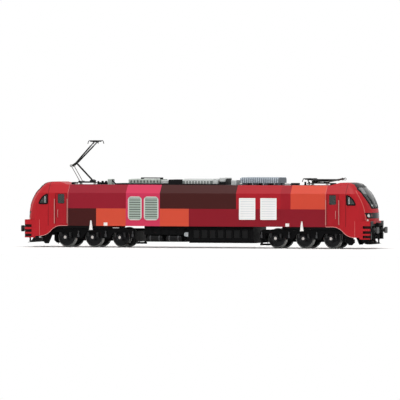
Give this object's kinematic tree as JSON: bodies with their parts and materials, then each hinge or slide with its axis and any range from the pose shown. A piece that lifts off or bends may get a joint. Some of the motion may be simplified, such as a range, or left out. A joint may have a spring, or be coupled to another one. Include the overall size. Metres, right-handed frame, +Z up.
{
  "type": "model electric locomotive",
  "caption": "Scale-model electric locomotive with a cab at each end, folding single-arm pantographs, grilled body sides and swivelling three-axle bogies.",
  "frame": {"origin": "on the floor under the middle of the locomotive, at the flange tips", "axes": "+X along the track towards the end whose pantograph is folded, +Y across to the far side, +Z up"},
  "size_m": [0.2646, 0.035, 0.0758],
  "materials": {
    "shell_paint": "satin",
    "clear_plastic": "clear",
    "lamp_black": "gloss",
    "lamp_white": "clear",
    "lamp_red": "clear",
    "grille_grey": "satin",
    "louvre_white": "satin",
    "frame_black": "matt",
    "under_black": "matt",
    "motor_steel": "cast",
    "cab_grey": "matt",
    "rail_pale": "satin",
    "buffer_steel": "brushed",
    "wheel_steel": "turned",
    "box_grey": "matt",
    "spring_black": "matt",
    "damper_grey": "matt",
    "roof_grey": "matt",
    "roof_dark": "matt",
    "cooler_grey": "matt",
    "panto_metal": "satin",
    "insulator": "gloss"
  },
  "bodies": {
    "body": {"body_shell": "shell_paint", "front_skirts": "shell_paint", "windscreens": "clear_plastic", "side_glass": "clear_plastic", "lamp_housings": "lamp_black", "head_lamps": "lamp_white", "tail_lamps": "lamp_red", "round_grilles": "grille_grey", "louvre_panels": "louvre_white", "chassis_frame": "frame_black", "motor": "motor_steel", "cab_interiors": "cab_grey", "handrails": "rail_pale", "lifting_lugs": "rail_pale", "buffer_sleeves": "under_black", "buffer_heads": "buffer_steel", "coupling_hooks": "under_black", "air_hoses": "under_black", "ploughs": "under_black", "equipment_box": "under_black", "air_reservoirs": "under_black", "fuel_tank": "under_black", "fuel_filler": "box_grey", "contactor_box": "roof_grey", "transformer_hood": "roof_grey", "filter_box": "roof_dark", "ribbed_hood": "roof_grey", "exhaust_box": "roof_dark", "vent_box": "roof_grey", "cooler_hood": "cooler_grey", "walkways": "roof_dark", "roof_line": "roof_dark", "roof_arresters": "roof_dark", "insulators": "insulator", "pantograph_base_1": "panto_metal", "pantograph_base_2": "panto_metal"},
    "bogie_1": {"bogie_frame_1": "under_black", "axle_boxes_1": "box_grey", "springs_1": "spring_black", "dampers_1": "damper_grey", "magnets_1": "under_black"},
    "bogie_2": {"bogie_frame_2": "under_black", "axle_boxes_2": "box_grey", "springs_2": "spring_black", "dampers_2": "damper_grey", "magnets_2": "under_black"},
    "wheelset_1": {"wheelset_1": "wheel_steel"},
    "wheelset_2": {"wheelset_2": "wheel_steel"},
    "wheelset_3": {"wheelset_3": "wheel_steel"},
    "wheelset_4": {"wheelset_4": "wheel_steel"},
    "wheelset_5": {"wheelset_5": "wheel_steel"},
    "wheelset_6": {"wheelset_6": "wheel_steel"},
    "lower_arm_1": {"lower_arm_1": "panto_metal"},
    "upper_arm_1": {"upper_arm_1": "panto_metal"},
    "pantograph_head_1": {"pantograph_head_1": "panto_metal"},
    "thrust_rod_1": {"thrust_rod_1": "panto_metal"},
    "lower_arm_2": {"lower_arm_2": "panto_metal"},
    "upper_arm_2": {"upper_arm_2": "panto_metal"},
    "pantograph_head_2": {"pantograph_head_2": "panto_metal"},
    "thrust_rod_2": {"thrust_rod_2": "panto_metal"}
  },
  "joints": [
    {"name": "bogie_swivel_1", "type": "hinge", "parent": "body", "child": "bogie_1", "pos_m": [-0.0783, 0, 0.0125], "axis": [0, 0, 1], "range_deg": [-12, 12]},
    {"name": "bogie_swivel_2", "type": "hinge", "parent": "body", "child": "bogie_2", "pos_m": [0.0783, 0, 0.0125], "axis": [0, 0, -1], "range_deg": [-12, 12]},
    {"name": "wheelset_spin_1", "type": "hinge", "parent": "bogie_1", "child": "wheelset_1", "pos_m": [-0.0987, 0, 0.00715], "axis": [0, 1, 0], "continuous": true},
    {"name": "wheelset_spin_2", "type": "hinge", "parent": "bogie_1", "child": "wheelset_2", "pos_m": [-0.0783, 0, 0.00715], "axis": [0, 1, 0], "continuous": true},
    {"name": "wheelset_spin_3", "type": "hinge", "parent": "bogie_1", "child": "wheelset_3", "pos_m": [-0.0579, 0, 0.00715], "axis": [0, 1, 0], "continuous": true},
    {"name": "wheelset_spin_4", "type": "hinge", "parent": "bogie_2", "child": "wheelset_4", "pos_m": [0.0579, 0, 0.00715], "axis": [0, 1, 0], "continuous": true},
    {"name": "wheelset_spin_5", "type": "hinge", "parent": "bogie_2", "child": "wheelset_5", "pos_m": [0.0783, 0, 0.00715], "axis": [0, 1, 0], "continuous": true},
    {"name": "wheelset_spin_6", "type": "hinge", "parent": "bogie_2", "child": "wheelset_6", "pos_m": [0.0987, 0, 0.00715], "axis": [0, 1, 0], "continuous": true},
    {"name": "pantograph_raise_1", "type": "hinge", "parent": "body", "child": "lower_arm_1", "pos_m": [-0.0826, 0, 0.0471], "axis": [0, 1, 0], "range_deg": [-41.5, 12]},
    {"name": "pantograph_knee_1", "type": "hinge", "parent": "lower_arm_1", "child": "upper_arm_1", "pos_m": [-0.09487, 0, 0.05958], "axis": [0, 1, 0], "range_deg": [-25.41, 87.75]},
    {"name": "pantograph_head_level_1", "type": "hinge", "parent": "upper_arm_1", "child": "pantograph_head_1", "pos_m": [-0.0804, 0, 0.07467], "axis": [0, 1, 0], "range_deg": [-46.25, 13.41]},
    {"name": "pantograph_rod_1", "type": "hinge", "parent": "body", "child": "thrust_rod_1", "pos_m": [-0.0913, 0, 0.04655], "axis": [0, 1, 0], "range_deg": [-49.05, 14.22]},
    {"name": "pantograph_raise_2", "type": "hinge", "parent": "body", "child": "lower_arm_2", "pos_m": [0.0826, 0, 0.0471], "axis": [0, -1, 0], "range_deg": [0, 53.5]},
    {"name": "pantograph_knee_2", "type": "hinge", "parent": "lower_arm_2", "child": "upper_arm_2", "pos_m": [0.10006, 0, 0.04832], "axis": [0, -1, 0], "range_deg": [-113.11, 0]},
    {"name": "pantograph_head_level_2", "type": "hinge", "parent": "upper_arm_2", "child": "pantograph_head_2", "pos_m": [0.07916, 0, 0.04832], "axis": [0, -1, 0], "range_deg": [0, 59.61]},
    {"name": "pantograph_rod_2", "type": "hinge", "parent": "body", "child": "thrust_rod_2", "pos_m": [0.0913, 0, 0.04655], "axis": [0, -1, 0], "range_deg": [0, 63.22]}
  ],
  "couplings": [
    {"joint": "pantograph_knee_1", "follows": "pantograph_raise_1", "ratio": -2.1132},
    {"joint": "pantograph_head_level_1", "follows": "pantograph_raise_1", "ratio": 1.1133},
    {"joint": "pantograph_rod_1", "follows": "pantograph_raise_1", "ratio": 1.1807},
    {"joint": "pantograph_knee_2", "follows": "pantograph_raise_2", "ratio": -2.1132},
    {"joint": "pantograph_head_level_2", "follows": "pantograph_raise_2", "ratio": 1.1133},
    {"joint": "pantograph_rod_2", "follows": "pantograph_raise_2", "ratio": 1.1807}
  ]
}
